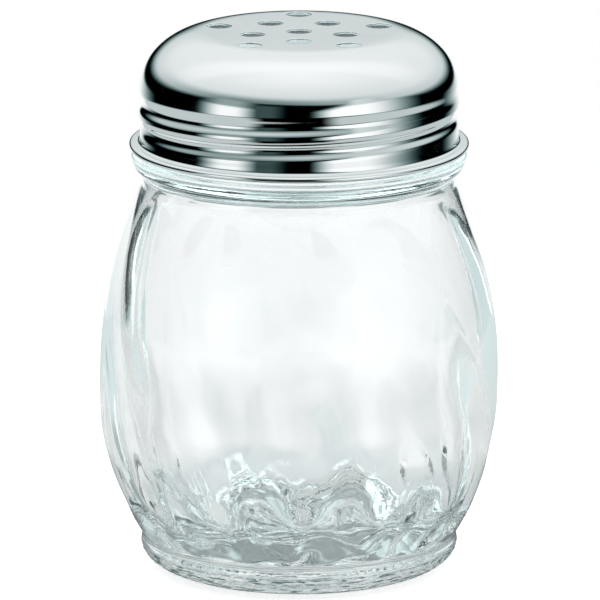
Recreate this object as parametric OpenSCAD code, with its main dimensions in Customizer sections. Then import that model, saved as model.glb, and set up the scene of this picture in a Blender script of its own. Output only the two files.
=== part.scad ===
// Table shaker for spices and grated cheese: a pressed glass jar with twisted
// flutes, and a perforated cap of stamped, chrome-plated sheet that screws on it.
// Origin at the centre of the base, on the table, +Z up, in millimetres.

/* [Jar body] */
// Diameter of the jar at its widest
belly_d = 70; // [66:0.5:78]
// Height of the widest place above the table
belly_z = 28.5; // [24:0.5:33]
// Height of the waist above the table
waist_z = 69; // [62:0.5:80]
// How full the upper body is: 2 is a parabola, more is squarer
shoulder_power = 2.6; // [2:0.1:3.4]
// How full the lower body is
heel_power = 1.85; // [1.5:0.05:2.4]
// Thickness of the glass behind a rib
wall_t = 3; // [2.2:0.1:3.6]
// Thickness of the glass at the middle of the base
floor_t = 7.5; // [5:0.5:10]
// Radius of the flat middle of the inside floor
floor_flat_r = 18; // [10:0.5:20]
// Height over which the inside floor curves up into the wall
floor_round_h = 6; // [4:0.5:11]

/* [Flutes] */
// Flutes round the body
flute_count = 12; // [8:1:16]
// Depth of a flute below the ribs on each side of it
flute_depth = 0.65; // [0.3:0.05:1]
// Angle that a flute turns through between the foot and the waist
flute_twist = 38; // [0:1:60]
// Angle of one rib at the height of the belly, from +X
flute_phase = 7; // [0:1:30]
// Distance from the crease up to the lower ends of the flutes
flute_foot_gap = 2.9; // [1.5:0.1:5]
// Height of the rounded lower end of a flute
foot_scoop_h = 5; // [3:0.5:8]
// Distance from the waist down to the upper ends of the flutes
flute_waist_gap = 1; // [0.5:0.1:3]
// Height of the rounded upper end of a flute
waist_scoop_h = 9; // [5:0.5:14]
// How much deeper a flute is where it ends above the foot
scoop_depth = 0.7; // [0:0.05:0.9]
// Height above the crease at which a flute starts to get deeper
scoop_reach = 13.4; // [9:0.2:18]

/* [Foot] */
// Diameter of the foot at its widest
foot_d = 55.6; // [54:0.2:58]
// Height of the crease between the foot and the body
foot_h = 5.6; // [4.6:0.2:7]
// Diameter of the body at that crease
crease_d = 54.6; // [52:0.2:55.4]
// Diameter of the flat ring that the jar stands on
stand_d = 41; // [38:0.5:46]
// Diameter of the hollow under the base
hollow_d = 34; // [24:1:37]
// Depth of the hollow under the base
hollow_h = 1.6; // [0.8:0.1:2.4]

/* [Collar and neck] */
// Diameter of the mouth
mouth_d = 46.8; // [44:0.2:52.4]
// Thickness of the glass in the neck
neck_wall_t = 2.95; // [2.7:0.05:3.4]
// How far the waist stands out from the neck
waist_out = 0.75; // [0.4:0.05:1.4]
// Height of the glass collar, from the waist to its flat top
collar_h = 4.8; // [4.4:0.1:6.5]
// How far the collar's top edge stands out from the neck
collar_out = 2.95; // [2.6:0.05:3.6]
// How far the collar stands out from the neck where its lower slope ends
collar_step_out = 2.35; // [2:0.05:2.6]
// Radius of the collar's top edge
collar_edge_r = 0.6; // [0.3:0.1:0.9]
// Radius of the edges of the glass rim
rim_edge_r = 0.8; // [0.3:0.1:1]

/* [Screw thread] */
// Rise of the thread in one turn (six threads to the inch)
pitch = 4.233; // [4:0.001:4.6]
// Height of the glass thread above the neck
thread_h = 0.8; // [0.6:0.05:0.9]
// Width of the glass thread at its root
thread_w = 2.5; // [1.8:0.1:2.6]
// Turns of thread on the glass
neck_turns = 1.3; // [1:0.05:1.4]
// Radial gap between the crests of one thread and the roots of the other
thread_clearance = 0.25; // [0.2:0.01:0.4]
// Rise from the middle of the cap's thread to the middle of the glass thread over it
thread_seat = 1.7; // [1.6:0.05:2.4]

/* [Cap] */
// Thickness of the sheet
sheet_t = 0.4; // [0.3:0.05:0.6]
// Height of the cap, from under its rolled rim to its flat top
cap_h = 20.95; // [19:0.05:24]
// Radius of the upper bend of the dome
dome_top_r = 12; // [9:0.5:13]
// Radius of the lower bend of the dome
dome_side_r = 9.3; // [8:0.1:11]
// Slope at which the upper bend meets the lower bend
dome_slope = 46.5; // [35:0.5:55]
// Depth of the rolled thread in the cap's side
groove_h = 0.8; // [0.6:0.05:0.9]
// Width of the rolled thread
groove_w = 3.6; // [2.6:0.1:3.8]
// Turns of thread in the cap
cap_turns = 1.74; // [1.3:0.02:1.84]
// Height of the top end of the rolled thread above the cap's lower edge
groove_top = 11.4; // [11:0.1:11.8]
// Angle of the top end of the rolled thread, from +X
groove_angle = 60; // [0:1:90]
// Angle by which the rolled thread starts before the one on the glass
thread_lead = 50; // [20:5:80]
// How far the rolled rim stands out from the cap's side
roll_out = 1.85; // [1.6:0.05:2.6]
// Outside diameter of the roll itself, in section
roll_tube_d = 1.6; // [1.4:0.1:1.9]
// Gap between the rolled rim and the glass collar under it
roll_gap = 0.5; // [0.3:0.1:1]

/* [Perforations] */
// Diameter of a hole
hole_d = 4.3; // [2.5:0.1:4.6]
// Radius of the inner ring of holes
inner_ring_r = 8.5; // [7.5:0.1:9]
// Radius of the outer ring of holes
outer_ring_r = 14.6; // [14:0.1:15]
// Holes in each ring
ring_holes = 5; // [3:1:5]

/* [Seal ring] */
// Thickness of the ring that lies between the glass rim and the cap
seal_t = 0.9; // [0.5:0.1:1.4]
// How far the ring stays in from the neck's side
seal_inset = 0.5; // [0.3:0.1:1]
// Gap between the ring's upper edge and the cap
seal_gap = 0.08; // [0.05:0.01:0.2]

/* [Hidden] */

$fn = 96;
eps = 0.01;

// Jar
belly_r = belly_d / 2;
crease_r = crease_d / 2;
foot_r = foot_d / 2;
stand_r = stand_d / 2;
mouth_r = mouth_d / 2;
neck_r = mouth_r + neck_wall_t;
waist_r = neck_r + waist_out;
collar_r = neck_r + collar_out;
collar_step_r = neck_r + collar_step_out;
collar_z = waist_z + collar_h;
flute_steps = 6;
body_rings = 34;
ring_crowding = 0.45;
scoop_run = 0.6;
body_in_foot = 1.1;
body_in_collar = 2;
heel_share = 0.75;
step_share = 0.55;
cavity_levels = 30;
cavity_crowding = 1.4;
hollow_side = 1.5;

// Cap, from the inside out and from the glass collar up
cap_in_r = neck_r + thread_h + thread_clearance;
cap_r = cap_in_r + sheet_t;
cap_z = collar_z + roll_gap;
cap_top_z = cap_z + cap_h;
roll_r = roll_tube_d / 2;
roll_centre_r = cap_r + roll_out - roll_r;
roll_centre_z = cap_z + roll_r;
top_bend_r = cap_r - dome_side_r + (dome_side_r - dome_top_r) * sin(dome_slope);
top_bend_z = cap_top_z - dome_top_r;
side_bend_r = cap_r - dome_side_r;
side_bend_z = top_bend_z + (dome_top_r - dome_side_r) * cos(dome_slope);
groove_top_z = cap_z + groove_top;

// Rim and seal, under the dome
seal_r = neck_r - seal_inset;
seal_z = dome_in_z(seal_r) - seal_gap - seal_t;
rim_z = seal_z;

// Sweep of the threads: steps in a turn, points in a section, and the angles
// over which each thread rises from nothing at its upper and at its lower end
thread_steps = 48;
thread_points = 8;
glass_fade = 30;
cap_fade_top = 240;
cap_fade_end = 60;
thread_sink = 0.1;
thread_back = 0.6;
skin_gap = 0.05;

// Height of the dome's inside at radius r, outside its flat top
function dome_in_z(r) =
    r < top_bend_r + (dome_top_r - sheet_t) * sin(dome_slope)
    ? top_bend_z + sqrt(pow(dome_top_r - sheet_t, 2) - pow(max(0, r - top_bend_r), 2))
    : side_bend_z + sqrt(pow(dome_side_r - sheet_t, 2) - pow(r - side_bend_r, 2));

// Points of an arc about c, from angle a to angle b, in n steps
function arc(c, r, a, b, n) =
    [for (i = [0:n]) let (t = a + (b - a) * i / n) c + r * [cos(t), sin(t)]];

// Smooth step from 0 at 0 to 1 at 1
function ease(t) = let (u = max(0, min(1, t))) u * u * (3 - 2 * u);

// Radius of the jar over its ribs at height z
function rib_r(z) =
    z < belly_z
    ? belly_r - (belly_r - crease_r) * pow((belly_z - z) / (belly_z - foot_h), heel_power)
    : z < waist_z
    ? belly_r - (belly_r - waist_r) * pow((z - belly_z) / (waist_z - belly_z), shoulder_power)
    : waist_r;

// Share of the flute depth at height z, with u from 0 at a rib to 1 in mid-flute:
// a parabola across the flute, and both ends scooped out of the wall
function flute_bowl(u, z) =
    let (
        low = 1 - max(0, min(1, (z - foot_h - flute_foot_gap) / foot_scoop_h)),
        high = 1 - max(0, min(1, (waist_z - flute_waist_gap - z) / waist_scoop_h))
    )
    max(0, 1 - pow(1 - u, 2) - low * low - high * high);

// Depth of a flute in its middle at height z, deeper in the scoop above the foot
function flute_d(z) =
    flute_depth + scoop_depth * ease((foot_h + scoop_reach - z) / (scoop_reach * scoop_run));

// Radius of the jar at angle a and height z: hollow flutes between crisp ribs
function body_r(a, z) =
    let (
        turn = flute_twist * (belly_z - z) / (waist_z - foot_h),
        across = (a - flute_phase - turn) * flute_count / 360,
        u = 2 * abs(across - round(across))
    )
    rib_r(z) - flute_d(z) * flute_bowl(u, z);

// Radius of the cavity at height z, smooth inside the fluted wall
function cavity_r(z) =
    let (
        wall_r = max(mouth_r, rib_r(z) - wall_t),
        rise = min(1, (z - floor_t) / floor_round_h)
    )
    floor_flat_r + (wall_r - floor_flat_r) * sqrt(1 - pow(1 - rise, 2));

// Closed mesh from a list of rings of points, each ring the same length
module skin(rings) {
    n = len(rings[0]);
    last = len(rings) - 1;
    polyhedron(
        points = [for (ring = rings) each ring],
        faces = concat(
            [[for (j = [0:n - 1]) j]],
            [for (i = [0:last - 1], j = [0:n - 1])
                let (k = (j + 1) % n) each [
                    [i * n + j, (i + 1) * n + j, (i + 1) * n + k],
                    [i * n + j, (i + 1) * n + k, i * n + k]
                ]],
            [[for (j = [n - 1:-1:0]) last * n + j]]
        )
    );
}

// Helical ridge. Its section runs from the back line to a rounded crest, and its
// height fades to nothing at both ends. side is 1 outwards and -1 inwards.
module helix(root_r, height, width, back, side, top_z, top_a, turns, fade_top, fade_end) {
    steps = round(turns * thread_steps);
    skin([
        for (i = [0:steps])
            let (
                down = i * 360 / thread_steps,
                a = top_a - down,
                z = top_z - pitch * down / 360,
                share = ease(down / fade_top) * ease((turns * 360 - down) / fade_end),
                section = concat(
                    [[root_r - side * back, -width / 2]],
                    [for (j = [0:thread_points])
                        let (s = j / thread_points * 2 - 1)
                        [root_r + side * height * share * pow(cos(90 * s), 2), s * width / 2]],
                    [[root_r - side * back, width / 2]]
                ),
                ordered = side > 0 ? section : [for (j = [len(section) - 1:-1:0]) section[j]]
            )
            [for (p = ordered) [p[0] * cos(a), p[0] * sin(a), z + p[1]]]
    ]);
}

// Fluted wall of the body, closed, from inside the foot to inside the collar. Its
// rings crowd towards the scooped ends of the flutes.
module fluted_body() {
    bottom_z = foot_h - body_in_foot;
    top_z = waist_z + body_in_collar;
    columns = flute_count * flute_steps;
    skin([
        for (i = [0:body_rings])
            let (
                t = i / body_rings,
                share = t - ring_crowding * sin(360 * t) / (2 * PI),
                z = bottom_z + (top_z - bottom_z) * share,
                turn = flute_twist * (belly_z - z) / (waist_z - foot_h)
            )
            [for (j = [0:columns - 1])
                let (a = flute_phase + turn + j * 360 / columns)
                [body_r(a, z) * cos(a), body_r(a, z) * sin(a), z]]
    ]);
}

// Foot: a ring with a soft heel, as wide as the mould's base plate leaves it
module foot() {
    heel_w = foot_r - stand_r;
    heel_h = foot_h * heel_share;
    rotate_extrude()
        polygon(concat(
            [[0, 0]],
            [for (p = arc([0, 0], 1, -90, 0, 8)) [stand_r + heel_w * p[0], heel_h * (1 + p[1])]],
            [[crease_r + eps, foot_h], [crease_r - body_in_foot, foot_h + body_in_foot],
             [0, foot_h + body_in_foot]]
        ));
}

// Collar and neck: the plain parts above the waist
module finish() {
    step_z = waist_z + collar_h * step_share;
    under = 1;
    slope = (collar_step_r - waist_r) / (step_z - waist_z);
    edge = [collar_r - collar_edge_r, collar_z - collar_edge_r];
    rim_edge = [neck_r - rim_edge_r, rim_z - rim_edge_r];
    rotate_extrude()
        polygon(concat(
            [[0, waist_z - under], [waist_r - under * slope, waist_z - under],
             [collar_step_r, step_z]],
            arc(edge, collar_edge_r, 0, 90, 4),
            [[neck_r, collar_z]],
            arc(rim_edge, rim_edge_r, 0, 90, 4),
            [[0, rim_z]]
        ));
}

// Everything that the glass encloses, with the inner edge of the rim rounded
module cavity() {
    shoulder_z = waist_z + 1;
    rotate_extrude()
        polygon(concat(
            [[0, floor_t]],
            [for (i = [0:cavity_levels])
                let (
                    t = pow(i / cavity_levels, cavity_crowding),
                    z = floor_t + (shoulder_z - floor_t) * t
                )
                [cavity_r(z), z]],
            arc([mouth_r + rim_edge_r, rim_z - rim_edge_r], rim_edge_r, 180, 90, 4),
            [[mouth_r + rim_edge_r, rim_z + 1], [0, rim_z + 1]]
        ));
}

// Hollow under the base, with sloping sides
module base_hollow() {
    slope_w = hollow_h * hollow_side;
    rotate_extrude()
        polygon([
            [0, -1], [hollow_d / 2, -1], [hollow_d / 2, 0],
            [hollow_d / 2 - slope_w, hollow_h], [0, hollow_h]
        ]);
}

module glass_jar() {
    color([0.86, 0.92, 0.9, 0.45])
        difference() {
            union() {
                fluted_body();
                foot();
                finish();
                helix(
                    root_r = neck_r - thread_sink, height = thread_h + thread_sink,
                    width = thread_w, back = thread_back, side = 1,
                    top_z = groove_top_z + thread_seat - pitch * thread_lead / 360,
                    top_a = groove_angle - thread_lead,
                    turns = neck_turns, fade_top = glass_fade, fade_end = glass_fade
                );
            }
            cavity();
            base_hollow();
        }
}

// Flat ring on the glass rim. Its outer edge slopes in under the dome.
module seal_ring() {
    color([0.93, 0.92, 0.88])
        rotate_extrude()
            polygon([
                [mouth_r + rim_edge_r, seal_z], [seal_r, seal_z],
                [seal_r, seal_z + seal_t], [mouth_r + rim_edge_r, seal_z + seal_t]
            ]);
}

// Half section of the cap's outside, or of its inside when t is the sheet
module cap_section(t) {
    polygon(concat(
        [[0, roll_centre_z], [cap_r - t, roll_centre_z]],
        arc([side_bend_r, side_bend_z], dome_side_r - t, 0, 90 - dome_slope, 9),
        arc([top_bend_r, top_bend_z], dome_top_r - t, 90 - dome_slope, 90, 9),
        [[0, cap_top_z - t]]
    ));
}

// Stamped shell with its edge turned out and rolled under
module cap_shell() {
    rotate_extrude() {
        difference() {
            cap_section(0);
            cap_section(sheet_t);
            translate([0, roll_centre_z - eps])
                square([cap_in_r, 2 * eps]);
        }
        translate([cap_in_r, cap_z + roll_tube_d - sheet_t])
            square([roll_centre_r - cap_in_r, sheet_t]);
        translate([roll_centre_r, roll_centre_z])
            difference() {
                circle(r = roll_r, $fn = 40);
                circle(r = roll_r - sheet_t, $fn = 40);
                translate([-roll_tube_d, -sheet_t / 2])
                    square([roll_tube_d, sheet_t]);
            }
    }
}

// Holes: one in the middle and two rings, one ring turned against the other
module perforations() {
    module hole() {
        translate([0, 0, cap_top_z - dome_top_r / 2])
            cylinder(d = hole_d, h = dome_top_r, $fn = 48);
    }
    hole();
    for (i = [0:ring_holes - 1]) {
        rotate(i * 360 / ring_holes - 90)
            translate([inner_ring_r, 0, 0])
                hole();
        rotate(i * 360 / ring_holes + 90)
            translate([outer_ring_r, 0, 0])
                hole();
    }
}

module screw_cap() {
    color([0.8, 0.82, 0.84])
        difference() {
            union() {
                cap_shell();
                intersection() {
                    helix(
                        root_r = cap_in_r + sheet_t / 2, height = groove_h + sheet_t / 2,
                        width = groove_w + sheet_t, back = sheet_t / 4, side = -1,
                        top_z = groove_top_z, top_a = groove_angle, turns = cap_turns,
                        fade_top = cap_fade_top, fade_end = cap_fade_end
                    );
                    rotate_extrude()
                        cap_section(sheet_t / 4);
                }
            }
            helix(
                root_r = cap_r + skin_gap, height = groove_h + skin_gap,
                width = groove_w, back = 1, side = -1,
                top_z = groove_top_z, top_a = groove_angle, turns = cap_turns,
                fade_top = cap_fade_top, fade_end = cap_fade_end
            );
            perforations();
        }
}

glass_jar();
seal_ring();
screw_cap();
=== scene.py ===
"""Dresses the table shaker: a fluted glass jar, a stamped chrome cap that screws
on it, and the seal ring between them, on a pale studio floor."""

import math

import bmesh
import bpy
import numpy as np
from bpy.props import (
    FloatProperty,
    FloatVectorProperty,
    IntProperty,
    PointerProperty,
)
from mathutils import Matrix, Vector
from mathutils.geometry import delaunay_2d_cdt


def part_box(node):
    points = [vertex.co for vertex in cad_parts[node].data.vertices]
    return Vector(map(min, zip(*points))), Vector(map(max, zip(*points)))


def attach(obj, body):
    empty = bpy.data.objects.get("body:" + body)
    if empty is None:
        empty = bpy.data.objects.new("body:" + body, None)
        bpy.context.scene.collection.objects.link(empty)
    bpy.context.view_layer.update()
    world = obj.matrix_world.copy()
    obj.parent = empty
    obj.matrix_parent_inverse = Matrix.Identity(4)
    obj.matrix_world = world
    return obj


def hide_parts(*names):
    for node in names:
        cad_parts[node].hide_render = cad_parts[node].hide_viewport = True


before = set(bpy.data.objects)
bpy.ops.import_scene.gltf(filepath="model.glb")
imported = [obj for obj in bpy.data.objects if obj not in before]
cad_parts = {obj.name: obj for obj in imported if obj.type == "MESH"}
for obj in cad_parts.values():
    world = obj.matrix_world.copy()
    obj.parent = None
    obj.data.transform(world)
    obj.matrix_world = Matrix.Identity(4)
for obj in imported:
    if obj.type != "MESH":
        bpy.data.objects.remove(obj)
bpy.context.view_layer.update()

bl_info = {
    "name": "Table shaker",
    "version": (1, 0, 0),
    "blender": (4, 5, 0),
    "location": "View3D > Sidebar > Shaker",
    "description": "Builds a fluted glass table shaker with a screw cap",
    "category": "Add Mesh",
}

MM = 0.001
FLUTE_COLUMNS = 24  # columns of the jar's grid in one flute
CROWDING = 0.6  # how far they crowd towards the ribs: 0 is even, 1 the most
HEEL_POWER = 1.85  # how roundly the body falls in to the crease
SHOULDER_POWER = 2.6  # how roundly it falls in to the waist
CAP_COLUMNS = 288
BOX_LOW = -14.5  # degrees above the horizon where the two boxes of light begin
BOX_SOFT = 3.0  # degrees of softness at their lower and upper ends
FLOOR_TOP = -0.05 * MM  # just under the jar, so that the two don't share a face
RING_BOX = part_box("seal_ring")
CAP_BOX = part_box("screw_cap")


# ---------------------------------------------------------------- properties


def length(name, description, default_mm):
    """A length property, given in millimetres and kept in metres."""
    return FloatProperty(
        name=name,
        description=description,
        default=default_mm * MM,
        min=0.0,
        precision=5,
        subtype="DISTANCE",
        unit="LENGTH",
    )


def colour(name, description, default):
    """A colour property, linear red, green, blue and alpha."""
    return FloatVectorProperty(
        name=name,
        description=description,
        default=default,
        size=4,
        min=0.0,
        max=1.0,
        subtype="COLOR",
    )


class JarSizes(bpy.types.PropertyGroup):
    belly_r: length("Belly radius", "Radius over the ribs at the widest place", 35)
    belly_z: length("Belly height", "Height of the widest place", 28.5)
    waist_r: length("Waist radius", "Radius under the collar", 27.1)
    waist_z: length("Waist height", "Height of the waist", 69)
    crease_r: length("Crease radius", "Radius where the body leaves the foot", 27.3)
    foot_h: length("Foot height", "Height of the crease above the table", 5.6)
    foot_r: length("Foot radius", "Radius of the foot at its widest", 27.8)
    stand_r: length("Standing radius", "Outer radius of the ring it stands on", 20.5)
    hollow_r: length("Hollow radius", "Radius of the hollow under the base", 17)
    hollow_h: length("Hollow depth", "Depth of the hollow under the base", 1.6)
    wall: length("Wall", "Thickness of the glass behind a rib", 3)
    wall_thinning: length("Thinning", "How much thinner the wall gets upwards", 1.6)
    thinning_z: length("Thinning start", "Height where the wall starts to thin", 30)
    thinning_h: length("Thinning height", "Height over which the wall thins", 16)
    floor_z: length("Floor", "Thickness of the glass under the contents", 7.5)
    floor_r: length("Floor radius", "Radius of the flat middle of the floor", 18)
    floor_round: length("Floor rounding", "Height of the floor's rounding", 6)
    flutes: IntProperty(name="Flutes", description="Flutes round the body", default=12)
    flute_depth: length("Flute depth", "Depth of a flute below its ribs", 0.65)
    flute_twist: FloatProperty(
        name="Twist",
        description="Angle that a flute turns through from the foot to the waist",
        default=math.radians(38),
        subtype="ANGLE",
    )
    flute_phase: FloatProperty(
        name="Phase",
        description="Angle of one rib at the height of the belly",
        default=math.radians(7),
        subtype="ANGLE",
    )
    flute_low: length("Flute's lower end", "Height where a flute begins", 8.5)
    flute_top: length("Flute's upper end", "Height where a flute ends", 68)
    scoop_low: length("Lower scoop", "Height of a flute's rounded lower end", 5)
    scoop_top: length("Upper scoop", "Height of a flute's rounded upper end", 9)
    scoop: length("Scoop depth", "How much deeper a flute is near its lower end", 0.7)
    waves: length("Waves", "Height of the waves in the floor's two faces", 0.6)
    lobe: length("Inner lobe", "How far the inside swells between ribs at the heel", 0.9)
    stipple: length("Stipple", "Height of the stipple round the foot", 0.2)
    ring_depth: length("Ring depth", "Depth of the fine rings round the foot", 0.12)
    ring_pitch: length("Ring pitch", "Distance between the rings of the foot", 1.1)
    rib_softness: FloatProperty(
        name="Rib softness",
        description="Share of half a flute over which a rib's crest is rounded",
        default=0.2,
        min=0.01,
        max=0.5,
        subtype="FACTOR",
    )
    collar_r: length("Collar radius", "Radius of the collar's top edge", 29.3)
    collar_step_r: length("Collar step", "Radius where its lower slope ends", 28.7)
    collar_z: length("Collar top", "Height of the collar's flat top", 73.8)
    neck_r: length("Neck radius", "Radius of the neck between the threads", 26.35)
    mouth_r: length("Mouth radius", "Radius of the mouth", 23.4)
    rim_edge: length("Rim rounding", "Radius of the edges of the glass rim", 0.8)


class ThreadSizes(bpy.types.PropertyGroup):
    pitch: length("Pitch", "Rise of the thread in one turn", 4.233)
    glass_h: length("Glass thread", "Height of the thread on the neck", 0.8)
    glass_w: length("Glass thread width", "Width of the thread on the neck", 2.5)
    glass_top: length("Glass thread top", "Height of its upper end", 86.8)
    glass_turns: FloatProperty(
        name="Glass turns", description="Turns of thread on the neck", default=1.3
    )
    cap_h: length("Rolled thread", "Depth of the thread rolled into the cap", 0.57)
    cap_w: length("Rolled thread width", "Width of the rolled thread", 4)
    cap_lead: FloatProperty(
        name="Lead",
        description="Angle by which the rolled thread starts before the glass one",
        default=math.radians(50),
        subtype="ANGLE",
    )
    cap_top: length("Rolled thread top", "Height of its upper end", 85.8)
    cap_bulge: length("Bulge", "How far the side swells between two grooves", 0.19)
    cap_turns: FloatProperty(
        name="Cap turns", description="Turns of thread in the cap", default=1.74
    )
    start: FloatProperty(
        name="Start",
        description="Angle of the upper end of the glass thread",
        default=math.radians(10),
        subtype="ANGLE",
    )


class CapSizes(bpy.types.PropertyGroup):
    side_r: length("Side radius", "Outside radius of the cap's side", 27.8)
    sheet: length("Sheet", "Thickness of the sheet", 0.4)
    top_bend: length("Upper bend", "Radius of the dome's upper bend", 12)
    side_bend: length("Lower bend", "Radius of the dome's lower bend", 9.3)
    bend_slope: FloatProperty(
        name="Bend slope",
        description="Slope at which the dome's two bends meet",
        default=math.radians(46.5),
        subtype="ANGLE",
    )
    flare: length("Flare", "Radius of the side's flare above the rim", 2)
    flare_slope: FloatProperty(
        name="Flare slope",
        description="Slope of the side at the end of its flare",
        default=math.radians(20),
        subtype="ANGLE",
    )
    shelf_bend: length("Shelf bend", "Radius where the flare turns out to the rim", 0.3)
    shelf: length("Shelf", "Height of the rim's top above the cap's lower end", 1.6)
    roll: length("Rolled rim", "Outside radius of the rolled rim's section", 0.62)
    hole_r: length("Hole", "Radius of a hole", 2.15)
    inner_ring: length("Inner ring", "Radius of the inner ring of holes", 8.5)
    outer_ring: length("Outer ring", "Radius of the outer ring of holes", 14.6)
    ring_holes: IntProperty(name="Holes", description="Holes in a ring", default=5)
    hole_edge: length("Hole edge", "Radius of a hole's punched edge", 0.1)


class Finishes(bpy.types.PropertyGroup):
    glass: colour("Glass", "Tint of the glass", (0.976, 0.985, 0.986, 1))
    chrome: colour("Chrome", "Colour of the plate", (0.86, 0.89, 0.895, 1))
    plastic: colour("Seal", "Colour of the seal ring", (0.92, 0.95, 0.95, 1))
    floor: colour("Floor", "Colour of the studio floor", (0.86, 0.86, 0.86, 1))


class Studio(bpy.types.PropertyGroup):
    distance: length("Camera distance", "From the camera to its target", 1400)
    height: length("Target height", "Height that the camera looks at", 47.2)
    aside: length("Target offset", "How far right of the axis it looks", 0.157)
    elevation: FloatProperty(
        name="Elevation",
        description="Height of the camera above the horizon",
        default=math.radians(13.7),
        subtype="ANGLE",
    )
    lens: FloatProperty(
        name="Lens", description="Focal length in millimetres", default=480.2
    )


# ------------------------------------------------------------------- helpers


def ease(t):
    """Smooth step: 0 below 0, 1 above 1, 3t² - 2t³ between."""
    t = np.clip(t, 0.0, 1.0)
    return t * t * (3 - 2 * t)


def arc(centre, radius, start, end, count):
    """Points of a circle's arc, angles in degrees, as rows of (r, z)."""
    t = np.radians(np.linspace(start, end, count))
    return np.stack(
        [centre[0] + radius * np.cos(t), centre[1] + radius * np.sin(t)], axis=1
    )


def ring_points(radius, count):
    """Points evenly round the axis, as rows of (x, y)."""
    t = np.arange(count) * 2 * math.pi / count
    return np.stack([np.cos(t), np.sin(t)], axis=1) * radius


def swept(radius, z, angle):
    """Points from radius, height and angle round the axis, as rows of (x, y, z)."""
    x, y = radius * np.cos(angle), radius * np.sin(angle)
    return np.stack([x, y, np.broadcast_to(z, x.shape)], axis=-1).reshape(-1, 3)


def line(a, b, count):
    """Evenly spaced points from a to b, both ends included."""
    t = np.linspace(0, 1, count)[:, None]
    return np.array(a) * (1 - t) + np.array(b) * t


def bend(a, corner, b, count):
    """Quadratic curve from a to b that a corner point pulls: (1-t)²a + 2t(1-t)c + t²b."""
    t = np.linspace(0, 1, count)[:, None]
    return (
        (1 - t) ** 2 * np.array(a)
        + 2 * t * (1 - t) * np.array(corner)
        + t**2 * np.array(b)
    )


def chain(*parts):
    """Joins runs of points and drops a point that repeats the one before it."""
    p = np.concatenate([np.atleast_2d(x) for x in parts])
    keep = np.ones(len(p), bool)
    keep[1:] = np.linalg.norm(np.diff(p, axis=0), axis=1) > 1e-7
    return p[keep]


def grid_faces(rows, columns, first=0):
    """Quads of a grid of rows that closes round its columns, as a (n, 4) array."""
    i, j = np.meshgrid(np.arange(rows - 1), np.arange(columns), indexing="ij")
    k = (j + 1) % columns
    quads = np.stack(
        [i * columns + j, i * columns + k, (i + 1) * columns + k, (i + 1) * columns + j],
        axis=-1,
    )
    return quads.reshape(-1, 4) + first


def new_piece(name, points, faces, material, merge=False):
    """A smooth mesh object at the origin from points in metres and index rows; with
    merge, points that lie on each other become one."""
    mesh = bpy.data.meshes.new(name)
    corners = [np.asarray(f) for f in faces if len(f)]
    totals = np.concatenate([np.full(len(f), f.shape[1]) for f in corners])
    loops = np.concatenate([f.ravel() for f in corners])
    mesh.vertices.add(len(points))
    mesh.vertices.foreach_set("co", np.asarray(points, np.float32).ravel())
    mesh.loops.add(len(loops))
    mesh.loops.foreach_set("vertex_index", loops.astype(np.int32))
    mesh.polygons.add(len(totals))
    mesh.polygons.foreach_set(
        "loop_start", np.concatenate([[0], np.cumsum(totals)[:-1]]).astype(np.int32)
    )
    mesh.polygons.foreach_set("loop_total", totals.astype(np.int32))
    mesh.update(calc_edges=True)
    if merge:
        bm = bmesh.new()
        bm.from_mesh(mesh)
        bmesh.ops.remove_doubles(bm, verts=bm.verts, dist=2e-6)
        bm.to_mesh(mesh)
        bm.free()
    if mesh.validate():
        raise RuntimeError(f"{name} has faces that Blender had to mend")
    mesh.polygons.foreach_set("use_smooth", np.ones(len(mesh.polygons), bool))
    mesh.materials.append(material)
    piece = bpy.data.objects.new(name, mesh)
    bpy.context.scene.collection.objects.link(piece)
    return piece


def helix_ridge(angle, z, top, start, pitch, turns, width, fades):
    """Share of a helical ridge's height at angle and z. The ridge's middle falls by
    pitch in each turn clockwise from its upper end, its section is cos² over its
    width, and it rises from nothing over the fades (radians) at its two ends."""
    total = turns * 2 * math.pi
    share = np.zeros(np.broadcast(angle, z).shape)
    for winding in range(int(math.ceil(turns)) + 1):
        down = np.mod(start - angle, 2 * math.pi) + winding * 2 * math.pi
        middle = top - pitch * down / (2 * math.pi)
        across = np.clip((z - middle) / (width / 2), -1, 1)
        along = ease(down / fades[0]) * ease((total - down) / fades[1])
        share = np.maximum(share, np.cos(across * math.pi / 2) ** 2 * along)
    return share


# ----------------------------------------------------------------- materials


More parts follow.
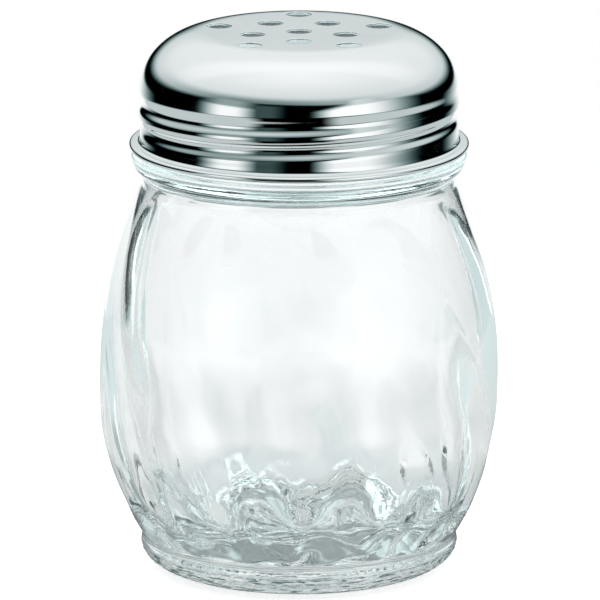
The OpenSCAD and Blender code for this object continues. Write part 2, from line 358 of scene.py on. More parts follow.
class Nodes:
    """Short calls for building a node tree."""

    def __init__(self, tree):
        self.tree = tree
        self.tree.nodes.clear()

    def add(self, kind, **settings):
        node = self.tree.nodes.new(kind)
        for key, value in settings.items():
            setattr(node, key, value)
        return node

    def link(self, a, b):
        self.tree.links.new(a, b)

    def put(self, socket, value):
        if isinstance(value, bpy.types.NodeSocket):
            self.link(value, socket)
        else:
            socket.default_value = value

    def math(self, operation, a, b=0.0, c=0.0):
        node = self.add("ShaderNodeMath", operation=operation)
        for socket, value in zip(node.inputs, (a, b, c)):
            self.put(socket, value)
        return node.outputs[0]

    def step(self, value, low, high, to_low=0.0, to_high=1.0):
        """Smooth change from to_low at low to to_high at high."""
        node = self.add("ShaderNodeMapRange", interpolation_type="SMOOTHSTEP")
        for socket, given in zip(node.inputs, (value, low, high, to_low, to_high)):
            self.put(socket, given)
        return node.outputs[0]

    def tilt(self, x, by_x, y, by_y, level):
        """A value that changes evenly: level, by_x more along x, by_y more along y."""
        return self.math("MULTIPLY_ADD", x, by_x, self.math("MULTIPLY_ADD", y, by_y, level))

    def brightest(self, first, *others):
        """The largest of all the values."""
        for other in others:
            first = self.math("MAXIMUM", first, other)
        return first

    def times(self, first, *others):
        """The product of all the values."""
        for other in others:
            first = self.math("MULTIPLY", first, other)
        return first

    def round_from_front(self, x, y):
        """Degrees round the axis from the front, more to the right."""
        return self.math("DEGREES", self.math("ARCTAN2", x, self.math("MULTIPLY", y, -1.0)))

    def front_and_back(self, turned, back):
        """1 in front and behind and 0 to both sides, by the degrees turned from the
        front; it rises again from back degrees on."""
        behind = self.step(turned, back, 160.0)
        return self.math("MAXIMUM", behind, self.step(turned, 80.0, 50.0))

    def window(self, value, low, high, soft):
        """1 between low and high, with soft edges, and 0 outside."""
        return self.math(
            "MULTIPLY",
            self.step(value, low - soft, low + soft),
            self.step(value, high + soft, high - soft),
        )

    def mix(self, share, a, b):
        """Colour a where share is 0 and b where it is 1."""
        node = self.add("ShaderNodeMix", data_type="RGBA")
        self.put(node.inputs["Factor"], share)
        self.put(node.inputs[6], a)
        self.put(node.inputs[7], b)
        return node.outputs[2]

    def noise(self, vector, scale, detail=2.0, roughness=0.5, distortion=0.0):
        """Noise with scale cells to the metre."""
        node = self.add("ShaderNodeTexNoise")
        self.link(vector, node.inputs["Vector"])
        node.inputs["Scale"].default_value = scale
        node.inputs["Detail"].default_value = detail
        node.inputs["Roughness"].default_value = roughness
        node.inputs["Distortion"].default_value = distortion
        return node.outputs["Fac"]

    def bump(self, height, distance, strength=1.0, normal=None):
        """A normal bent by a height of up to distance metres."""
        node = self.add("ShaderNodeBump")
        node.inputs["Strength"].default_value = strength
        node.inputs["Distance"].default_value = distance
        self.link(height, node.inputs["Height"])
        if normal is not None:
            self.link(normal, node.inputs["Normal"])
        return node.outputs["Normal"]


def new_material(name):
    """A node material with a Principled shader; returns it, its nodes and shader."""
    material = bpy.data.materials.new(name)
    material.use_nodes = True
    nodes = Nodes(material.node_tree)
    shader = nodes.add("ShaderNodeBsdfPrincipled")
    output = nodes.add("ShaderNodeOutputMaterial")
    nodes.link(shader.outputs[0], output.inputs["Surface"])
    return material, nodes, shader


def glass_material(tint):
    """Clear pressed glass: slow ripples from the mould, a fire-polished skin, and painted
    dark streaks of shade at the foot, where its stipple would throw the light away. Where
    light turns round inside it for longer than it is followed, the glass glows with a
    painted mean tone, brightest at the neck and darkest at the foot."""
    material, nodes, shader = new_material("clear_pressed_glass")
    place = nodes.add("ShaderNodeTexCoord").outputs["Object"]
    ripple = nodes.noise(place, 90.0, 1.0)
    skin = nodes.noise(place, 900.0, 2.0)
    normal = nodes.bump(ripple, 0.0004, 0.25)
    nodes.link(nodes.bump(skin, 0.00002, 0.3, normal), shader.inputs["Normal"])
    shader.inputs["Roughness"].default_value = 0.0
    shader.inputs["IOR"].default_value = 1.52
    shader.inputs["Transmission Weight"].default_value = 1.0
    apart = nodes.add("ShaderNodeSeparateXYZ")
    nodes.link(place, apart.inputs[0])
    z = apart.outputs["Z"]
    flat = nodes.add("ShaderNodeVectorMath", operation="MULTIPLY")
    nodes.link(place, flat.inputs[0])
    flat.inputs[1].default_value = (1, 1, 7)
    # painted shade: dark streaks in the glass's own colour round the foot, where the
    # stipple would throw the light away
    painted_streak_shade = nodes.step(nodes.noise(flat.outputs[0], 300.0, 2.0), 0.54, 0.6)
    painted_streak_shade = nodes.times(painted_streak_shade, nodes.window(z, 0.9 * MM, 4.2 * MM, 0.5 * MM))
    # colour of the painted shade in the foot's streaks
    dark = (0.06, 0.11, 0.11, 1)
    shader.inputs["Base Color"].default_value = tint
    nodes.link(nodes.mix(painted_streak_shade, tint, dark), shader.inputs["Base Color"])
    # painted glow: the glass gives off a mean tone of light, faint at the foot and stronger
    # at the wall and the neck
    painted_foot_glow = nodes.step(z, 3 * MM, 8 * MM, 0.04, 0.24)
    painted_wall_glow = nodes.times(nodes.window(z, 22 * MM, 76 * MM, 4 * MM), 0.42)
    painted_neck_glow = nodes.step(z, 84 * MM, 78 * MM, 0.3, 0.75)
    painted_neck_glow = nodes.times(painted_neck_glow, nodes.step(z, 62 * MM, 68 * MM))
    turns = nodes.add("ShaderNodeLightPath").outputs["Glossy Depth"]
    lost = nodes.math("GREATER_THAN", turns, 3.5)
    # the painted glow shows only where a path has turned round in the glass more than three
    # times
    tone = nodes.times(lost, nodes.brightest(painted_foot_glow, painted_wall_glow, painted_neck_glow))
    shader.inputs["Emission Color"].default_value = (0.85, 1, 1, 1)
    nodes.link(tone, shader.inputs["Emission Strength"])
    return material


def chrome_material(tint):
    """Bright chrome plate on stamped sheet: slow ripples, fine wipe marks."""
    material, nodes, shader = new_material("bright_chrome_plate")
    place = nodes.add("ShaderNodeTexCoord").outputs["Object"]
    ripple = nodes.noise(place, 60.0, 1.0)
    haze = nodes.noise(place, 220.0, 3.0, 0.6)
    nodes.link(nodes.bump(ripple, 0.0003, 0.25), shader.inputs["Normal"])
    nodes.link(nodes.step(haze, 0.35, 0.75, 0.04, 0.09), shader.inputs["Roughness"])
    shader.inputs["Base Color"].default_value = tint
    shader.inputs["Metallic"].default_value = 1.0
    return material


def plastic_material(tint):
    """Soft off-white plastic, matt, with the faintest mottle."""
    material, nodes, shader = new_material("matt_seal_plastic")
    place = nodes.add("ShaderNodeTexCoord").outputs["Object"]
    mottle = nodes.noise(place, 700.0, 3.0)
    dark = tuple(c * 0.94 for c in tint[:3]) + (1.0,)
    nodes.link(nodes.mix(mottle, dark, tint), shader.inputs["Base Color"])
    nodes.link(nodes.bump(mottle, 0.00003, 0.4), shader.inputs["Normal"])
    shader.inputs["Roughness"].default_value = 0.55
    return material


# --------------------------------------------------------------------- pieces


def rib_radius(j, z):
    """Radius of the jar over its ribs: from the belly down to the crease and up to
    the waist the radius falls by a power of the distance from the belly."""
    low = ((j.belly_z - z) / (j.belly_z - j.foot_h)).clip(0)
    high = ((z - j.belly_z) / (j.waist_z - j.belly_z)).clip(0, 1)
    return (
        j.belly_r
        - (j.belly_r - j.crease_r) * low**HEEL_POWER
        - (j.belly_r - j.waist_r) * high**SHOULDER_POWER
    )


def inner_radius(j, z):
    """Radius of the jar's inside: under the ribs by the wall, which thins upwards."""
    thinner = j.wall_thinning * ease((z - j.thinning_z) / j.thinning_h)
    return rib_radius(j, z) - j.wall + thinner


def jar_outside(j):
    """The jar's outside as rows of (r, z): from the middle of the hollow under it out
    over its side and the ring that it stands on, up the heel, a quarter of an ellipse,
    over the crease and the body, out under the collar and up the neck to the rim."""
    side_w, heel_w, heel_h = 2.4 * MM, j.foot_r - j.stand_r, 4.2 * MM
    t = np.linspace(0, 1, 9)
    hollow_side = np.stack(
        [j.hollow_r - side_w + side_w * t, j.hollow_h * (1 - ease(t))], axis=1
    )
    turn = np.radians(np.linspace(-90, 0, 39))
    heel = np.stack(
        [j.stand_r + heel_w * np.cos(turn), heel_h * (1 + np.sin(turn))], axis=1
    )
    foot_top = (j.foot_r - 0.1 * MM, j.foot_h - 0.7 * MM)
    foot_edge = (j.foot_r - 0.18 * MM, j.foot_h - 0.5 * MM)
    crease = (j.crease_r, j.foot_h - 0.05 * MM)
    body_z = np.linspace(j.foot_h + 1.1 * MM, j.waist_z + 0.6 * MM, 92)
    body = np.stack([rib_radius(j, body_z), body_z], axis=1)
    waist = (j.waist_r, j.waist_z + 1.3 * MM)
    under_low = (j.waist_r + 0.5 * MM, j.waist_z + 1.6 * MM)
    under_high = (j.waist_r + 1.4 * MM, j.waist_z + 2.4 * MM)
    step = (j.collar_step_r + 0.1 * MM, j.waist_z + 2.64 * MM)
    over_step = (j.collar_step_r + 0.3 * MM, j.waist_z + 3.5 * MM)
    band_edge, root, edge = 0.6 * MM, 0.6 * MM, j.rim_edge
    top_z, neck_top = j.collar_z, RING_BOX[0][2] - j.rim_edge
    return chain(
        (0, j.hollow_h),
        line((2.5 * MM, j.hollow_h), (j.hollow_r - side_w, j.hollow_h), 5),
        hollow_side,
        line((j.hollow_r, 0), (j.stand_r, 0), 4),
        heel,
        bend(heel[-1], foot_top, foot_edge, 4),
        bend(foot_edge, crease, body[0], 6),
        body,
        bend(body[-1], waist, under_low, 7),
        line(under_low, under_high, 4),
        bend(under_high, step, over_step, 4),
        arc((j.collar_r - band_edge, top_z - band_edge), band_edge, 0, 90, 7),
        line((j.collar_step_r - 0.2 * MM, top_z), (j.neck_r + root, top_z), 4),
        bend((j.neck_r + root, top_z), (j.neck_r, top_z), (j.neck_r, top_z + root), 4),
        line((j.neck_r, top_z + 1.6 * MM), (j.neck_r, neck_top), 50),
        arc((j.neck_r - edge, neck_top), edge, 0, 90, 7),
    )


def jar_inside(j):
    """The jar's inside as rows of (r, z): from the rim down the mouth, out over the
    shoulder, down the wall and round a quarter of an ellipse into the flat floor."""
    edge, neck_top = j.rim_edge, RING_BOX[0][2] - j.rim_edge
    mouth_low = j.waist_z + 5.5 * MM
    shoulder_z = np.linspace(mouth_low, j.waist_z + 0.5 * MM, 11)
    share = ease((mouth_low - shoulder_z) / (4 * MM))
    shoulder_wall = inner_radius(j, np.minimum(shoulder_z, j.waist_z))
    shoulder = np.stack(
        [j.mouth_r * (1 - share) + shoulder_wall * share, shoulder_z], axis=1
    )
    wall_z = np.linspace(j.waist_z, j.floor_z + j.floor_round, 38)
    wall = np.stack([inner_radius(j, wall_z), wall_z], axis=1)
    turn = np.radians(np.linspace(90, 0, 19))
    round_z = j.floor_z + j.floor_round * (1 - np.cos(turn))
    round_r = j.floor_r + (rib_radius(j, round_z) - j.wall - j.floor_r) * np.sin(turn)
    return chain(
        arc((j.mouth_r + edge, neck_top), edge, 90, 180, 7),
        line((j.mouth_r, neck_top - 1.5 * MM), (j.mouth_r, mouth_low + 1 * MM), 9),
        shoulder,
        wall,
        np.stack([round_r, round_z], axis=1),
        line((9 * MM, j.floor_z), (3 * MM, j.floor_z), 3),
        (0, j.floor_z),
    )


def jar_columns(j, z, outside):
    """Angle of each column at each height, and its place in its flute, from 0 at a rib
    to 1 midway between two. On the body the columns follow the flutes' twist, so that
    a rib always runs along one column, and crowd towards the ribs."""
    fade = 3 * MM
    on_body = ease((z - j.foot_h) / fade) * ease((j.waist_z - z) / fade)
    on_body = np.where(outside, on_body, 0.0)
    body_z = np.where(outside, np.clip(z, j.foot_h, j.waist_z), j.waist_z)
    turn = j.flute_twist * (j.belly_z - body_z) / (j.waist_z - j.foot_h)
    column = np.arange(j.flutes * FLUTE_COLUMNS)[None, :]
    across = (column % FLUTE_COLUMNS) / FLUTE_COLUMNS
    crowd = CROWDING * np.sin(2 * math.pi * across) / (2 * math.pi)
    across = across - crowd * on_body
    step = 2 * math.pi / j.flutes
    angle = j.flute_phase + turn + (column // FLUTE_COLUMNS + across) * step
    return angle, 2 * np.minimum(across, 1 - across)


def flute_depths(j, z, place):
    """Depth of the flutes, depth·(1-(1-u)²-a²-b²), where positive: u is 0 on a rib's
    rounded crest and 1 mid-flute, and a and b rise to 1 at the scooped ends. Low on
    the body the crests are rounder and the flutes deeper."""
    low_softness, end_softness = 0.25, 0.0012
    soft = j.rib_softness + low_softness * ease((30 * MM - z) / (14 * MM))
    u = (np.sqrt(place * place + soft * soft) - soft) / (np.sqrt(1 + soft * soft) - soft)
    a = 1 - ((z - j.flute_low) / j.scoop_low).clip(0, 1)
    b = 1 - ((j.flute_top - z) / j.scoop_top).clip(0, 1)
    bowl = 1 - (1 - u) ** 2 - a**2 - b**2
    bowl = (bowl + np.sqrt(bowl**2 + end_softness)) / 2  # above 0, with a soft edge
    return bowl * (j.flute_depth + j.scoop * ease((19 * MM - z) / (8 * MM)))


def foot_relief(j, angle, z):
    """Depth of the relief round the foot: a stipple, the product of a cosine round it
    and one up it, and a cosine of fine rings."""
    in_flute, rise = 6, 2.2 * MM  # waves of the stipple in one flute, and their height
    stipple = np.cos(in_flute * j.flutes * angle) * np.cos(z * 2 * math.pi / rise)
    rings = np.cos(z * 2 * math.pi / j.ring_pitch)
    on_foot = ease((z - 0.3 * MM) / (0.6 * MM)) * ease((4.4 * MM - z) / (0.8 * MM))
    depth = j.stipple * (0.5 - 0.5 * stipple) + j.ring_depth * (0.5 - 0.5 * rings)
    return on_foot * depth


def floor_waves(j, x, y):
    """Height of the floor's waves: a sine along x times one along y, each of them
    shifted to and fro by a sine across it."""
    along = np.sin(x / (1.7 * MM) + 1.3 * np.sin(y / (2.9 * MM)))
    across = np.sin(y / (2.1 * MM) + 0.9 * np.sin(x / (2.6 * MM)) + 0.6)
    return j.waves * along * across


def jar_surface(j, thread):
    """The jar as a grid of outline points against columns. The radius is the outline's
    less the flutes and the foot's relief, more the neck's helical ridge and, inside at
    the heel, more by a sine's lobe between two ribs; the floor's two faces are wavy."""
    outline = chain(jar_outside(j), jar_inside(j))
    rings, columns = len(outline) - 2, j.flutes * FLUTE_COLUMNS
    r, z = outline[1:-1, 0:1], outline[1:-1, 1:2]
    outside = (np.arange(1, rings + 1) <= np.argmax(outline[:, 1]))[:, None]
    angle, place = jar_columns(j, z, outside)
    ridge = helix_ridge(
        angle,
        z,
        thread.glass_top,
        thread.start,
        thread.pitch,
        thread.glass_turns,
        thread.glass_w,
        (math.radians(30), math.radians(30)),
    )
    on_body = outside & (z > j.foot_h)
    on_neck = outside & (z > j.collar_z + 0.5 * MM)
    at_heel = ease((22 * MM - z) / (10 * MM)) * ease((r - 9 * MM) / (9 * MM))
    lobes = np.sin(math.pi / 2 * place) - 0.6
    radius = (
        r
        - np.where(on_body, flute_depths(j, z, place), 0.0)
        - np.where(outside, foot_relief(j, angle, z), 0.0)
        + np.where(on_neck, thread.glass_h * ridge, 0.0)
        + np.where(outside, 0.0, j.lobe * at_heel * lobes)
    )
    x, y = radius * np.cos(angle), radius * np.sin(angle)
    under = 0.6 * ease((j.hollow_r - r) / (5 * MM))  # the hollow is the calmer face
    over = ease((20 * MM - z) / (8 * MM))
    wavy = np.where(outside, under, over) * ease(r / (4 * MM))
    grid = np.stack([x, y, z + wavy * floor_waves(j, x, y)], axis=-1).reshape(-1, 3)
    points = np.concatenate([grid, [[0, 0, outline[0, 1]], [0, 0, outline[-1, 1]]]])
    c = np.arange(columns)
    k = (c + 1) % columns
    last = (rings - 1) * columns
    base = np.stack([k, c, np.full(columns, len(grid))], axis=1)
    floor = np.stack([last + c, last + k, np.full(columns, len(grid) + 1)], axis=1)
    return points, [grid_faces(rings, columns), base, floor]


def dome_bend_r(c):
    """Radius of the flat middle of the dome, from which its upper bend falls."""
    return c.side_r - c.side_bend + (c.side_bend - c.top_bend) * math.sin(c.bend_slope)


def dome_height(c, r):
    """Height of the dome's outside at radius r: flat, then an arc of the upper bend."""
    top = CAP_BOX[1][2]
    fall = np.clip(r - dome_bend_r(c), 0, None)
    return top - c.top_bend + np.sqrt(c.top_bend**2 - fall**2)


def hole_centres(c):
    """One hole in the middle and two rings of holes, turned against each other."""
    t = np.radians(np.arange(c.ring_holes) * 360 / c.ring_holes)
    down, up = t - math.pi / 2, t + math.pi / 2
    inner = np.stack([np.cos(down), np.sin(down)], axis=1) * c.inner_ring
    outer = np.stack([np.cos(up), np.sin(up)], axis=1) * c.outer_ring
    return np.concatenate([[[0, 0]], inner, outer])


def top_plan(centres, circle, collar_r, edge_r, columns):
    """The pierced top from above: points (x, y) and the Delaunay triangles that fill
    it between its edge and a collar round each hole, over an even lattice."""
    loops = [ring_points(edge_r, columns)] + [h + circle * collar_r for h in centres]
    gap, row = 0.95 * MM, 0.866  # between the lattice's points, and the rows' share of it
    margin = 0.4 * gap
    wide, deep = np.arange(-20, 21), np.arange(-24, 25)
    gx, gy = np.meshgrid(wide, deep, indexing="ij")
    lattice = np.stack([(gx + 0.5 * (gy % 2)) * gap, gy * gap * row], axis=-1)
    lattice = lattice.reshape(-1, 2)
    from_hole = np.linalg.norm(lattice[:, None] - centres[None], axis=2).min(axis=1)
    from_axis = np.linalg.norm(lattice, axis=1)
    inside = (from_hole > collar_r + margin) & (from_axis < edge_r - margin)
    flat = np.concatenate(loops + [lattice[inside]])
    edges, start = [], 0
    for loop in loops:
        n = len(loop)
        edges += [(start + i, start + (i + 1) % n) for i in range(n)]
        start += n
    found = delaunay_2d_cdt([Vector(p) for p in flat], edges, [], 0, 1e-9)
    plan = np.array([tuple(v) for v in found[0]])
    tris = np.array([f for f in found[2] if len(f) == 3])
    middle = plan[tris].mean(axis=1)
    clear = np.linalg.norm(middle[:, None] - centres[None], axis=2).min(axis=1)
    chord = 0.995  # a collar's chords lie a little inside its circle
    tris = tris[(clear > collar_r * chord) & (np.linalg.norm(middle, axis=1) < edge_r)]
    a, b, d = plan[tris[:, 0]], plan[tris[:, 1]], plan[tris[:, 2]]
    turn = (b[:, 0] - a[:, 0]) * (d[:, 1] - a[:, 1])
    turn = turn - (b[:, 1] - a[:, 1]) * (d[:, 0] - a[:, 0])
    tris[turn < 0] = tris[turn < 0][:, ::-1]
    return plan, tris


def hole_profile(c, collar_r):
    """Section of the sheet at a hole as rows of (r, depth): in over the sheet from the
    collar, a quarter of a circle round the punched edge, and the same back under it."""
    e = c.hole_edge
    quarter = np.radians(np.linspace(0, 90, 5))
    lip = np.stack([c.hole_r + e - e * np.sin(quarter), e * (1 - np.cos(quarter))], axis=1)
    under = np.stack([lip[::-1, 0], c.sheet - lip[::-1, 1]], axis=1)
    return chain(
        line((collar_r, 0), (c.hole_r + e, 0), 5),
        lip,
        under,
        line((c.hole_r + e, c.sheet), (collar_r, c.sheet), 5),
    )


def perforated_top(c, edge_r, columns):
    """The pierced top: triangles between the holes, lifted to the dome's height on
    both faces of the sheet, and the sheet's section swept once about each hole."""
    centres = hole_centres(c)
    around, collar_r = 48, c.hole_r + 0.8 * MM
    circle = ring_points(1, around)
    plan, tris = top_plan(centres, circle, collar_r, edge_r, columns)
    z = dome_height(c, np.linalg.norm(plan, axis=1))
    upper = np.column_stack([plan, z])
    lower = np.column_stack([plan, z - c.sheet])
    points, faces = [upper, lower], [tris, tris[:, ::-1] + len(upper)]
    count = 2 * len(upper)
    profile = hole_profile(c, collar_r)
    for h in centres:
        xy = h[None, None] + profile[:, None, 0:1] * circle[None]
        hz = dome_height(c, np.linalg.norm(xy, axis=2)) - profile[:, None, 1]
        ring = np.concatenate([xy, hz[..., None]], axis=2).reshape(-1, 3)
        points.append(ring)
        faces.append(grid_faces(len(profile), around, count))
        count += len(ring)
    return points, faces, count


def cap_outline(c, edge_r):
    """The cap's sheet as two rows of (r, z): its outside from the pierced top down the
    dome and side, out over the shelf and round the roll, and its inside, one sheet
    thickness in along the outline's normal."""
    low, high = CAP_BOX[0][2], CAP_BOX[1][2]
    side_z = high - c.top_bend + (c.top_bend - c.side_bend) * math.cos(c.bend_slope)
    top_centre = (dome_bend_r(c), high - c.top_bend)
    side_centre = (c.side_r - c.side_bend, side_z)
    slope = math.degrees(c.bend_slope)
    first = math.degrees(math.acos((edge_r - top_centre[0]) / c.top_bend))
    shelf_z = low + c.shelf
    roll_centre = (CAP_BOX[1][0] - c.roll, shelf_z - c.roll)
    roll_top, roll_end = 90, -200
    f, slope_end = c.shelf_bend, c.flare_slope
    bend_r = c.side_r + c.flare * (1 - math.cos(slope_end)) + f * math.cos(slope_end)
    flare_z = shelf_z + f * (1 - math.sin(slope_end)) + c.flare * math.sin(slope_end)
    turned = 180 + math.degrees(slope_end)
    outside = chain(
        arc(top_centre, c.top_bend, first, 90 - slope, 24),
        arc(side_centre, c.side_bend, 90 - slope, 0, 24),
        line((c.side_r, side_z), (c.side_r, flare_z), 62),
        arc((c.side_r + c.flare, flare_z), c.flare, 180, turned, 9),
        arc((bend_r, shelf_z + f), f, turned, 270, 6),
        arc(roll_centre, c.roll, roll_top, roll_end, 30),
    )
    along = np.gradient(outside, axis=0)
    along /= np.linalg.norm(along, axis=1)[:, None]
    normal = np.stack([along[:, 1], -along[:, 0]], axis=1)
    inside = outside + normal * c.sheet
    inside[0] = (edge_r, outside[0, 1] - c.sheet)
    return outside, inside


def cap_shell(c, thread, edge_r, columns, first):
    """The cap's dome, side and rolled rim as one closed grid round the sheet. Over
    the side both faces of the sheet move in by the depth of the rolled thread, and
    out by a slight swell between its turns."""
    outside, inside = cap_outline(c, edge_r)
    end = bend(outside[-1], (outside[-1] + inside[-1]) / 2, inside[-1], 3)[1:-1]
    outline = np.concatenate([outside, end, inside[::-1]])
    angle = np.arange(columns)[None, :] * 2 * math.pi / columns
    r, z = outline[:, 0:1], outline[:, 1:2]
    start = thread.start + thread.cap_lead
    groove = helix_ridge(
        angle,
        z,
        thread.cap_top,
        start,
        thread.pitch,
        thread.cap_turns,
        thread.cap_w,
        (math.radians(240), math.radians(60)),
    )
    between = thread.cap_top - thread.pitch / 2
    shorter = 0.8  # of a turn, so that the swell ends between two grooves
    swell = helix_ridge(
        angle,
        z,
        between,
        start,
        thread.pitch,
        thread.cap_turns - shorter,
        thread.pitch,
        (math.radians(90), math.radians(90)),
    )
    rolled = z > 76.0 * MM
    radius = r + (thread.cap_bulge * swell - thread.cap_h * groove) * rolled
    faces = grid_faces(len(outline), columns, first)[:, ::-1]
    return swept(radius, z, angle), faces


# ------------------------------------------------------------------ operators


class SHAKER_OT_jar(bpy.types.Operator):
    """Builds the fluted glass jar with its foot, collar, thread and rim."""

    bl_idname = "shaker.jar"
    bl_label = "Glass jar"

    def execute(self, context):
        scene = context.scene
        points, faces = jar_surface(scene.shaker_jar, scene.shaker_thread)
        tint = tuple(scene.shaker_finishes.glass)
        piece = new_piece("jar_fluted_glass", points, faces, glass_material(tint))
        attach(piece, "jar")
        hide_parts("glass_jar")
        return {"FINISHED"}


class SHAKER_OT_ring(bpy.types.Operator):
    """Builds the flat seal ring, a rounded oblong section carried round the axis."""

    bl_idname = "shaker.ring"
    bl_label = "Seal ring"

    def execute(self, context):
        jar = context.scene.shaker_jar
        low, high = RING_BOX[0][2], RING_BOX[1][2]
        inner, outer = jar.mouth_r + jar.rim_edge, RING_BOX[1][0]
        edge = 0.18 * MM
        section = chain(
            arc((inner + edge, low + edge), edge, 180, 270, 5),
            arc((outer - edge, low + edge), edge, 270, 360, 5),
            arc((outer - edge, high - edge), edge, 0, 90, 5),
            arc((inner + edge, high - edge), edge, 90, 180, 5),
        )
        section = np.concatenate([section, section[:1]])
        columns = 192
        angle = np.arange(columns) * 2 * math.pi / columns
        tint = tuple(context.scene.shaker_finishes.plastic)
        piece = new_piece(
            "seal_ring_moulded",
            swept(section[:, 0:1], section[:, 1:2], angle),
            [grid_faces(len(section), columns)],
            plastic_material(tint),
            merge=True,
        )
        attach(piece, "seal")
        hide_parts("seal_ring")
        return {"FINISHED"}


class SHAKER_OT_cap(bpy.types.Operator):
    """Builds the stamped cap: pierced top, dome, rolled thread and rolled rim."""

    bl_idname = "shaker.cap"
    bl_label = "Screw cap"

    def execute(self, context):
        scene = context.scene
        cap, thread = scene.shaker_cap, scene.shaker_thread
        land = 1.2 * MM  # sheet left round the outer holes before the dome falls
        edge_r = cap.outer_ring + cap.hole_r + land
        points, faces, count = perforated_top(cap, edge_r, CAP_COLUMNS)
        grid, quads = cap_shell(cap, thread, edge_r, CAP_COLUMNS, count)
        tint = tuple(scene.shaker_finishes.chrome)
        piece = new_piece(
            "cap_stamped_chrome",
            np.concatenate(points + [grid]),
            faces + [quads],
            chrome_material(tint),
            merge=True,
        )
        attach(piece, "cap")
        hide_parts("screw_cap")
        return {"FINISHED"}


def overhead_light(n, x, y, height, turned, in_glass):
    """A sheet of light over the whole studio. Its edge lies lower behind and to the
    right than in front. It dims towards the edge, has a dull hollow just over it and
    a brighter crown behind; rays in the glass see two dark bars in it behind."""
    edge = n.tilt(x, -2.0, y, -8.9, 16.0)
    above = n.math("SUBTRACT", height, edge)
    from_zenith = n.math("SUBTRACT", 90.0, height)
    dimming = n.times(from_zenith, n.math("MULTIPLY_ADD", y, -0.0017, 0.0037))
    hollow = n.math("MAXIMUM", n.tilt(x, -0.25, y, -0.4, 0.25), 0.16)
    hollow = n.times(hollow, n.step(above, 18.0, 3.0))
    crown = n.times(n.window(y, 0.14, 0.5, 0.12), n.step(height, 20.0, 50.0, 0.0, 0.09))
    sheet = n.math("ADD", n.math("SUBTRACT", 1.045, dimming), crown)
    sheet = n.times(sheet, n.math("SUBTRACT", 1.0, hollow))
    sharpness = n.math("DIVIDE", above, n.math("MULTIPLY_ADD", y, 2.0, 3.5))
    sheet = n.times(sheet, n.step(sharpness, -1.0, 1.0))
    bars = n.brightest(n.window(height, 14.0, 18.0, 1.5), n.window(height, 26.0, 31.0, 1.5))
    bars = n.times(bars, in_glass, n.step(turned, 115.0, 140.0, 0.0, 0.85))
    return n.times(sheet, n.math("SUBTRACT", 1.0, bars))


def light_box(n, wide, level, height, top, tip, tip_share):
    """A box of light in front, of that level where wide is 1: whole up to top degrees
    above the horizon, and of a share of its level up to tip degrees."""
    whole = n.window(height, BOX_LOW, top, BOX_SOFT)
    faint = n.times(n.window(height, 0.0, tip, BOX_SOFT), tip_share)
    return n.times(wide, level, n.brightest(whole, faint))


def room_light(n, turned, height, in_glass):
    """The pale room under the horizon, behind and to both sides, and what rays in the
    glass see of it: a brighter floor, most of all in front and behind, and a haze."""
    behind = n.times(n.step(turned, 125.0, 168.0), n.step(height, -2.0, -6.0))
    beside = n.times(n.step(turned, 30.0, 60.0, 0.0, 0.6), n.step(height, -13.0, -19.0))
    through = n.math("MULTIPLY_ADD", n.front_and_back(turned, 150.0), 0.41, 0.65)
    through = n.times(through, in_glass, n.step(height, -5.0, -11.0))
    haze = n.times(n.step(turned, 140.0, 165.0, 0.0, 0.2), in_glass)
    return behind, beside, through, haze


def studio_world(scene):
    """White for the camera. Other rays see a studio by their direction, in degrees
    round from the front and above the horizon: an overhead sheet of light, a box of
    light with soft ends in front to each side and a faint strip beside the left one,
    a dark band round the horizon, and under it the pale room. Red falls a little
    faster than green and blue as it darkens."""
    world = bpy.data.worlds.new("studio_world")
    world.use_nodes = True
    scene.world = world
    n = Nodes(world.node_tree)
    place = n.add("ShaderNodeSeparateXYZ")
    n.link(n.add("ShaderNodeTexCoord").outputs["Generated"], place.inputs[0])
    x, y, z = place.outputs
    azimuth = n.round_from_front(x, y)
    turned = n.math("ABSOLUTE", azimuth)
    height = n.math("DEGREES", n.math("ARCSINE", z))
    path = n.add("ShaderNodeLightPath")
    in_glass = path.outputs["Is Transmission Ray"]
    over = overhead_light(n, x, y, height, turned, in_glass)
    leaning = n.math("SUBTRACT", azimuth, n.step(height, 8.0, 22.0, 0.0, 18.0))
    right = n.times(n.step(leaning, 7.0, 27.0), n.step(azimuth, 100.0, 44.0))
    right = light_box(n, right, 1.15, height, 19.0, 30.0, 0.65)
    left = n.times(n.step(azimuth, -80.0, -56.0), n.step(azimuth, -27.0, -48.0))
    left = light_box(n, left, 1.08, height, 13.0, 26.0, 0.35)
    strip = n.times(n.window(azimuth, -38.0, -15.0, 7.0), 0.08)
    strip = n.times(strip, n.window(height, BOX_LOW, 20.0, BOX_SOFT))
    room = room_light(n, turned, height, in_glass)
    level = n.brightest(over, right, left, strip, *room)
    red = n.times(level, n.math("POWER", n.math("MINIMUM", level, 1.0), 0.2))
    tone = n.add("ShaderNodeCombineXYZ")
    for socket, part in zip(tone.inputs, (red, level, level)):
        n.link(part, socket)
    seen = n.add("ShaderNodeBackground")
    seen.inputs["Color"].default_value = (1, 1, 1, 1)
    studio = n.add("ShaderNodeBackground")
    n.link(tone.outputs[0], studio.inputs["Color"])
    both = n.add("ShaderNodeMixShader")
    n.link(path.outputs["Is Camera Ray"], both.inputs[0])
    n.link(studio.outputs[0], both.inputs[1])
    n.link(seen.outputs[0], both.inputs[2])
    n.link(both.outputs[0], n.add("ShaderNodeOutputWorld").inputs["Surface"])


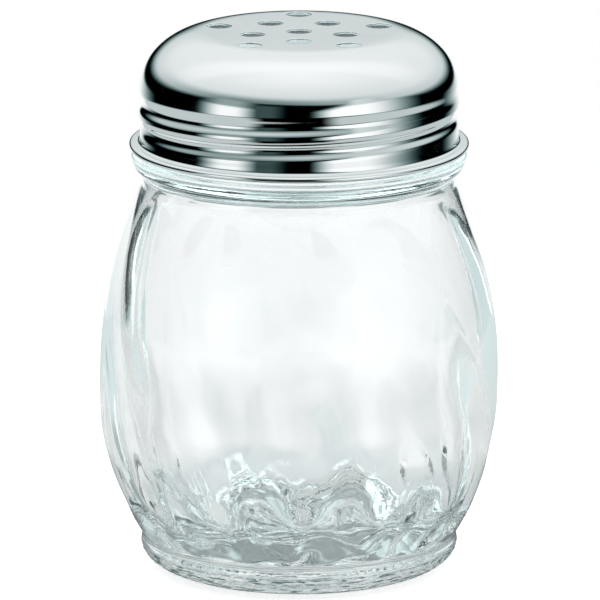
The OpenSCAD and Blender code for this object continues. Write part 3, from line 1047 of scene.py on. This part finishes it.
def floor_material(tint):
    """Pale floor that keeps the shadow: diffuse, with its own light for the rays that
    look at it, so that it meets the white background without a line. Rays in the
    glass see it glow bluish near the foot, with a painted web of light like the one the
    glass throws there, and further off as bright as the room. The chrome sees a painted
    even light on it, with painted shade near the jar and, in front, further out."""
    material, n, shader = new_material("pale_floor")
    output = n.tree.nodes.get("Material Output")
    shader.inputs["Base Color"].default_value = tint
    shader.inputs["Roughness"].default_value = 1.0
    shader.inputs["Specular IOR Level"].default_value = 0.0
    path = n.add("ShaderNodeLightPath")
    in_glass = path.outputs["Is Transmission Ray"]
    place = n.add("ShaderNodeTexCoord").outputs["Object"]
    apart = n.add("ShaderNodeSeparateXYZ")
    n.link(place, apart.inputs[0])
    x, y, _ = apart.outputs
    away = n.math("SQRT", n.math("MULTIPLY_ADD", x, x, n.math("MULTIPLY", y, y)))
    azimuth = n.round_from_front(x, y)
    turned = n.math("ABSOLUTE", azimuth)
    far_level = n.math("MULTIPLY_ADD", n.front_and_back(turned, 146.0), 0.32, 0.04)
    # painted light: a web of bright patches near the foot, like the light the glass throws,
    # seen only by rays in the glass
    painted_web_of_light = n.step(n.noise(place, 110.0, 2.0, 0.5, 1.2), 0.46, 0.68, -0.05, 0.7)
    painted_web_of_light = n.times(painted_web_of_light, n.step(away, 42.5 * MM, 34.5 * MM))
    glow = n.math("ADD", painted_web_of_light, n.step(away, 50 * MM, 130 * MM, 0.2, far_level))
    glow = n.times(in_glass, glow)
    bare = n.times(path.outputs["Is Camera Ray"], 0.7)
    near = n.times(in_glass, n.step(away, 80 * MM, 50 * MM))
    n.link(n.mix(near, (1, 1, 1, 1), (0.8, 1, 1, 1)), shader.inputs["Emission Color"])
    n.link(n.brightest(bare, glow), shader.inputs["Emission Strength"])
    # painted reflection for the chrome: an even light with painted shade near the jar and
    # in a sector in front further out
    unlit = n.times(n.window(azimuth, -32.0, 24.0, 8.0), n.step(away, 100 * MM, 112 * MM))
    lit = n.times(n.math("SUBTRACT", 1.0, unlit), n.step(away, 62 * MM, 80 * MM), 0.64)
    mirrored = n.add("ShaderNodeEmission")
    mirrored.inputs["Color"].default_value = (0.92, 1, 1, 1)
    n.link(lit, mirrored.inputs["Strength"])
    both = n.add("ShaderNodeMixShader")
    in_metal = n.math("SUBTRACT", path.outputs["Is Glossy Ray"], in_glass)
    n.link(in_metal, both.inputs[0])
    n.link(shader.outputs[0], both.inputs[1])
    n.link(mirrored.outputs[0], both.inputs[2])
    n.link(both.outputs[0], output.inputs["Surface"])
    return material


class SHAKER_OT_stage(bpy.types.Operator):
    """Makes the floor, the studio world and the camera."""

    bl_idname = "shaker.stage"
    bl_label = "Stage"

    def execute(self, context):
        scene, studio = context.scene, context.scene.shaker_studio
        reach, count = 250 * MM, 128
        edge = np.column_stack([ring_points(reach, count), np.full(count, FLOOR_TOP)])
        points = np.concatenate([edge, [[0, 0, FLOOR_TOP]]])
        k = np.arange(count)
        faces = np.stack([k, (k + 1) % count, np.full(count, count)], axis=1)
        tint = tuple(scene.shaker_finishes.floor)
        floor = new_piece("floor", points, [faces], floor_material(tint))
        studio_world(scene)
        e = studio.elevation
        target = Vector((studio.aside, 0, studio.height))
        back = Vector((0, -math.cos(e), math.sin(e)))
        camera = bpy.data.objects.new("camera", bpy.data.cameras.new("camera"))
        camera.data.lens = studio.lens
        camera.data.sensor_width = 36
        camera.data.clip_end = 10
        camera.location = target + back * studio.distance
        camera.rotation_euler = (-back).to_track_quat("-Z", "Y").to_euler()
        scene.collection.objects.link(camera)
        scene.camera = camera
        scene.view_settings.view_transform = "Standard"
        return {"FINISHED"}


class SHAKER_PT_panel(bpy.types.Panel):
    """Lists the steps that build the shaker."""

    bl_label = "Shaker"
    bl_idname = "SHAKER_PT_panel"
    bl_space_type = "VIEW_3D"
    bl_region_type = "UI"
    bl_category = "Shaker"

    def draw(self, context):
        for step in STEPS:
            self.layout.operator(step.bl_idname, text=step.bl_label)


GROUPS = {
    "shaker_jar": JarSizes,
    "shaker_thread": ThreadSizes,
    "shaker_cap": CapSizes,
    "shaker_finishes": Finishes,
    "shaker_studio": Studio,
}
STEPS = (SHAKER_OT_stage, SHAKER_OT_jar, SHAKER_OT_ring, SHAKER_OT_cap)


def register():
    for name, group in GROUPS.items():
        bpy.utils.register_class(group)
        setattr(bpy.types.Scene, name, PointerProperty(type=group))
    for step in STEPS + (SHAKER_PT_panel,):
        bpy.utils.register_class(step)


def unregister():
    for step in reversed(STEPS + (SHAKER_PT_panel,)):
        bpy.utils.unregister_class(step)
    for name, group in reversed(GROUPS.items()):
        delattr(bpy.types.Scene, name)
        bpy.utils.unregister_class(group)


def main():
    register()
    bpy.ops.shaker.stage()
    bpy.ops.shaker.jar()
    bpy.ops.shaker.ring()
    bpy.ops.shaker.cap()


if __name__ == "__main__":
    main()
